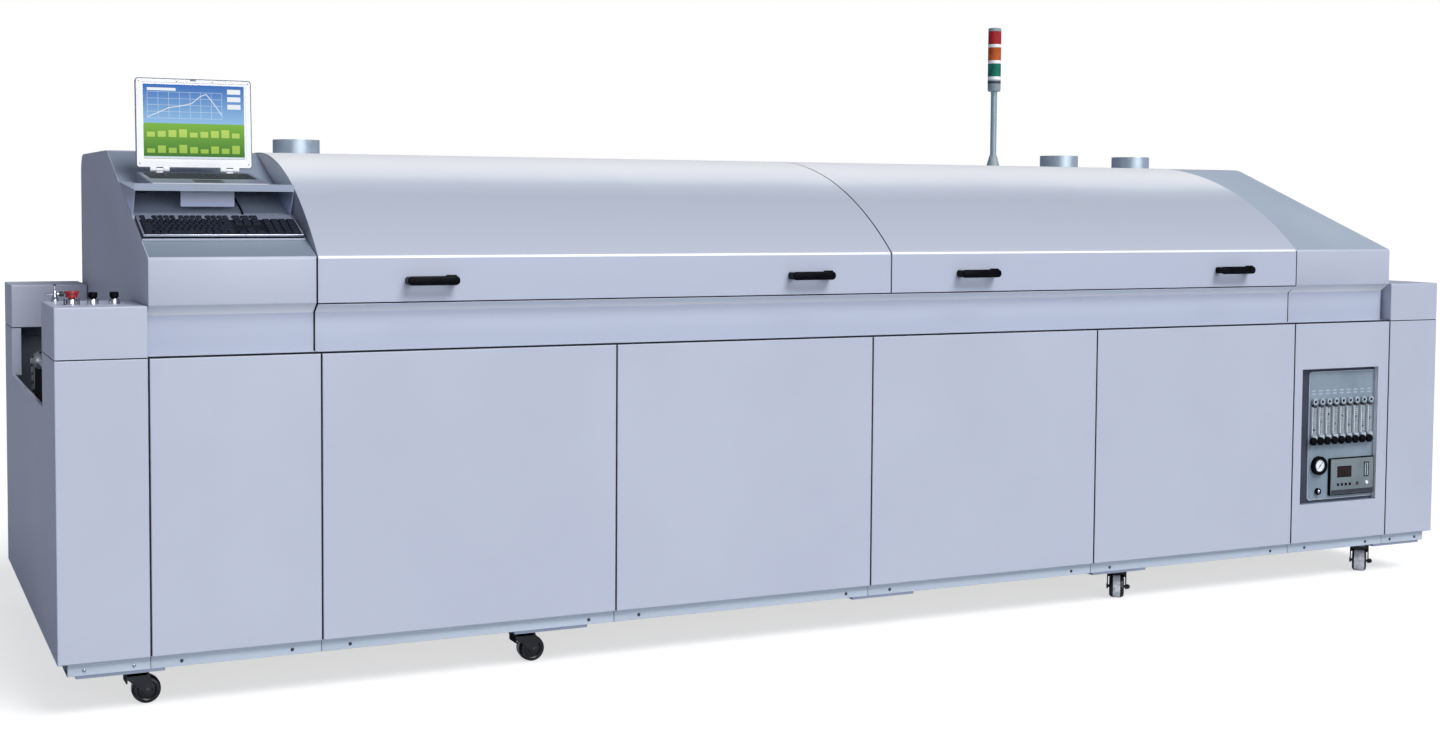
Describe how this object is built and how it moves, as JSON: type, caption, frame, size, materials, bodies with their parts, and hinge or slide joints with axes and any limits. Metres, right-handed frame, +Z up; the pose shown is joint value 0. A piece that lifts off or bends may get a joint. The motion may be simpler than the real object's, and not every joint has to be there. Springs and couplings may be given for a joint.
{
  "type": "reflow oven",
  "caption": "Long in-line reflow soldering oven on castors, with a chain conveyor through a heated tunnel, lifting curved hoods, a laptop console and a gas panel.",
  "frame": {"origin": "on the floor under the middle of the oven's box", "axes": "+X along the board's way from entry to exit, +Y from the operator's side to the rear, +Z up"},
  "size_m": [4.856, 1.6, 2.035],
  "materials": {
    "cabinet_paint": "semi-gloss powder coat, pale lavender grey",
    "frame_paint": "satin painted steel",
    "galvanised": "galvanised sheet",
    "zone_steel": "plain steel sheet",
    "dark_rail": "black anodised aluminium",
    "chain_steel": "oiled steel",
    "bright_steel": "polished steel",
    "motor_paint": "dark enamel",
    "black_plastic": "moulded black plastic",
    "dark_plastic": "moulded dark plastic",
    "laptop_plastic": "silver grey moulded plastic",
    "tower_metal": "satin aluminium",
    "red_lens": "clear red lens",
    "amber_lens": "clear amber lens",
    "green_lens": "clear green lens",
    "red_plastic": "moulded red plastic",
    "clear_acrylic": "clear acrylic",
    "instrument_plate": "satin painted sheet",
    "wheel_nylon": "black castor wheel",
    "castor_steel": "black coated steel"
  },
  "bodies": {
    "oven": {"base_frame": "frame_paint", "front_panels": "cabinet_paint", "rear_panels": "cabinet_paint", "end_panels": "cabinet_paint", "control_box": "cabinet_paint", "end_caps": "cabinet_paint", "console_shell": "cabinet_paint", "front_sill": "cabinet_paint", "exit_cover": "cabinet_paint", "rear_deck": "cabinet_paint", "exhaust_ducts": "galvanised", "tower_stem": "tower_metal", "tower_lens_red": "red_lens", "tower_lens_amber": "amber_lens", "tower_lens_green": "green_lens", "lower_heat_module": "zone_steel", "laptop_shelf": "cabinet_paint", "laptop_base": "laptop_plastic", "keyboard": "dark_plastic", "keyboard_cable": "dark_plastic", "gas_plate": "instrument_plate", "flowmeters": "clear_acrylic", "pressure_gauge": "bright_steel", "gas_analyser": "instrument_plate", "conveyor_rails": "dark_rail", "conveyor_chains": "chain_steel", "conveyor_motor": "motor_paint", "power_cabinet": "frame_paint", "lift_columns": "motor_paint"},
    "hood_entry": {"hood_entry": "cabinet_paint", "hood_handles_entry": "black_plastic", "upper_heat_module_entry": "zone_steel"},
    "lift_rod_entry": {"lift_rod_entry": "bright_steel"},
    "hood_exit": {"hood_exit": "cabinet_paint", "hood_handles_exit": "black_plastic", "upper_heat_module_exit": "zone_steel"},
    "lift_rod_exit": {"lift_rod_exit": "bright_steel"},
    "laptop_lid": {"laptop_lid": "laptop_plastic"},
    "estop_button": {"estop_button": "red_plastic"},
    "start_button": {"start_button": "black_plastic"},
    "stop_button": {"stop_button": "black_plastic"},
    "main_switch": {"main_switch": "bright_steel"},
    "drive_shaft": {"drive_shaft": "bright_steel"},
    "idler_shaft": {"idler_shaft": "bright_steel"},
    "castor_fork_front_1": {"castor_fork_front_1": "castor_steel"},
    "castor_wheel_front_1": {"castor_wheel_front_1": "wheel_nylon"},
    "castor_fork_front_2": {"castor_fork_front_2": "castor_steel"},
    "castor_wheel_front_2": {"castor_wheel_front_2": "wheel_nylon"},
    "castor_fork_front_3": {"castor_fork_front_3": "castor_steel"},
    "castor_wheel_front_3": {"castor_wheel_front_3": "wheel_nylon"},
    "castor_fork_front_4": {"castor_fork_front_4": "castor_steel"},
    "castor_wheel_front_4": {"castor_wheel_front_4": "wheel_nylon"},
    "castor_fork_rear_1": {"castor_fork_rear_1": "castor_steel"},
    "castor_wheel_rear_1": {"castor_wheel_rear_1": "wheel_nylon"},
    "castor_fork_rear_2": {"castor_fork_rear_2": "castor_steel"},
    "castor_wheel_rear_2": {"castor_wheel_rear_2": "wheel_nylon"},
    "castor_fork_rear_3": {"castor_fork_rear_3": "castor_steel"},
    "castor_wheel_rear_3": {"castor_wheel_rear_3": "wheel_nylon"},
    "castor_fork_rear_4": {"castor_fork_rear_4": "castor_steel"},
    "castor_wheel_rear_4": {"castor_wheel_rear_4": "wheel_nylon"}
  },
  "joints": [
    {"name": "hood_entry_hinge", "type": "hinge", "parent": "oven", "child": "hood_entry", "pos_m": [-0.844, 0.178, 1.478], "axis": [-1, 0, 0], "range_deg": [0, 30]},
    {"name": "lift_entry_slide", "type": "slide", "parent": "oven", "child": "lift_rod_entry", "axis": [0, 0, 1], "range_m": [0, 0.34883]},
    {"name": "hood_exit_hinge", "type": "hinge", "parent": "oven", "child": "hood_exit", "pos_m": [0.9, 0.178, 1.478], "axis": [-1, 0, 0], "range_deg": [0, 30]},
    {"name": "lift_exit_slide", "type": "slide", "parent": "oven", "child": "lift_rod_exit", "axis": [0, 0, 1], "range_m": [0, 0.34883]},
    {"name": "laptop_lid_hinge", "type": "hinge", "parent": "oven", "child": "laptop_lid", "pos_m": [-1.986, -0.25101, 1.43856], "axis": [1, 0, 0], "range_deg": [-35, 99]},
    {"name": "estop_button_press", "type": "slide", "parent": "oven", "child": "estop_button", "axis": [0, 0, -1], "range_m": [0, 0.005]},
    {"name": "start_button_press", "type": "slide", "parent": "oven", "child": "start_button", "axis": [0, 0, -1], "range_m": [0, 0.004], "stiffness_N_per_m": 400, "springref_m": -0.002},
    {"name": "stop_button_press", "type": "slide", "parent": "oven", "child": "stop_button", "axis": [0, 0, -1], "range_m": [0, 0.004], "stiffness_N_per_m": 400, "springref_m": -0.002},
    {"name": "main_switch_turn", "type": "hinge", "parent": "oven", "child": "main_switch", "pos_m": [-2.395, -0.466, 1.075], "axis": [0, 0, 1], "range_deg": [0, 90]},
    {"name": "drive_shaft_spin", "type": "hinge", "parent": "oven", "child": "drive_shaft", "pos_m": [2.388, -0.166, 0.871], "axis": [0, 1, 0], "continuous": true},
    {"name": "idler_shaft_spin", "type": "hinge", "parent": "oven", "child": "idler_shaft", "pos_m": [-2.388, -0.166, 0.871], "axis": [0, 1, 0], "continuous": true},
    {"name": "castor_fork_front_1_swivel", "type": "hinge", "parent": "oven", "child": "castor_fork_front_1", "pos_m": [-2.215, -0.65, 0.104], "axis": [0, 0, 1], "continuous": true},
    {"name": "castor_wheel_front_1_roll", "type": "hinge", "parent": "castor_fork_front_1", "child": "castor_wheel_front_1", "pos_m": [-2.193, -0.65, 0.038], "axis": [0, 1, 0], "continuous": true},
    {"name": "castor_fork_front_2_swivel", "type": "hinge", "parent": "oven", "child": "castor_fork_front_2", "pos_m": [-1.12, -0.65, 0.104], "axis": [0, 0, 1], "continuous": true},
    {"name": "castor_wheel_front_2_roll", "type": "hinge", "parent": "castor_fork_front_2", "child": "castor_wheel_front_2", "pos_m": [-1.098, -0.65, 0.038], "axis": [0, 1, 0], "continuous": true},
    {"name": "castor_fork_front_3_swivel", "type": "hinge", "parent": "oven", "child": "castor_fork_front_3", "pos_m": [1.056, -0.65, 0.104], "axis": [0, 0, 1], "continuous": true},
    {"name": "castor_wheel_front_3_roll", "type": "hinge", "parent": "castor_fork_front_3", "child": "castor_wheel_front_3", "pos_m": [1.04245, -0.66734, 0.038], "axis": [0.788, -0.6157, 0], "continuous": true},
    {"name": "castor_fork_front_4_swivel", "type": "hinge", "parent": "oven", "child": "castor_fork_front_4", "pos_m": [2.184, -0.65, 0.104], "axis": [0, 0, 1], "continuous": true},
    {"name": "castor_wheel_front_4_roll", "type": "hinge", "parent": "castor_fork_front_4", "child": "castor_wheel_front_4", "pos_m": [2.16844, -0.66556, 0.038], "axis": [0.7071, -0.7071, 0], "continuous": true},
    {"name": "castor_fork_rear_1_swivel", "type": "hinge", "parent": "oven", "child": "castor_fork_rear_1", "pos_m": [-2.215, 0.688, 0.104], "axis": [0, 0, 1], "continuous": true},
    {"name": "castor_wheel_rear_1_roll", "type": "hinge", "parent": "castor_fork_rear_1", "child": "castor_wheel_rear_1", "pos_m": [-2.193, 0.688, 0.038], "axis": [0, 1, 0], "continuous": true},
    {"name": "castor_fork_rear_2_swivel", "type": "hinge", "parent": "oven", "child": "castor_fork_rear_2", "pos_m": [-1.12, 0.688, 0.104], "axis": [0, 0, 1], "continuous": true},
    {"name": "castor_wheel_rear_2_roll", "type": "hinge", "parent": "castor_fork_rear_2", "child": "castor_wheel_rear_2", "pos_m": [-1.098, 0.688, 0.038], "axis": [0, 1, 0], "continuous": true},
    {"name": "castor_fork_rear_3_swivel", "type": "hinge", "parent": "oven", "child": "castor_fork_rear_3", "pos_m": [1.056, 0.688, 0.104], "axis": [0, 0, 1], "continuous": true},
    {"name": "castor_wheel_rear_3_roll", "type": "hinge", "parent": "castor_fork_rear_3", "child": "castor_wheel_rear_3", "pos_m": [1.04245, 0.67066, 0.038], "axis": [0.788, -0.6157, 0], "continuous": true},
    {"name": "castor_fork_rear_4_swivel", "type": "hinge", "parent": "oven", "child": "castor_fork_rear_4", "pos_m": [2.184, 0.688, 0.104], "axis": [0, 0, 1], "continuous": true},
    {"name": "castor_wheel_rear_4_roll", "type": "hinge", "parent": "castor_fork_rear_4", "child": "castor_wheel_rear_4", "pos_m": [2.16844, 0.67244, 0.038], "axis": [0.7071, -0.7071, 0], "continuous": true}
  ],
  "couplings": [
    {"joint": "lift_entry_slide", "follows": "hood_entry_hinge", "m_per_rad": 0.66527},
    {"joint": "lift_exit_slide", "follows": "hood_exit_hinge", "m_per_rad": 0.66527},
    {"joint": "idler_shaft_spin", "follows": "drive_shaft_spin", "ratio": 1}
  ]
}
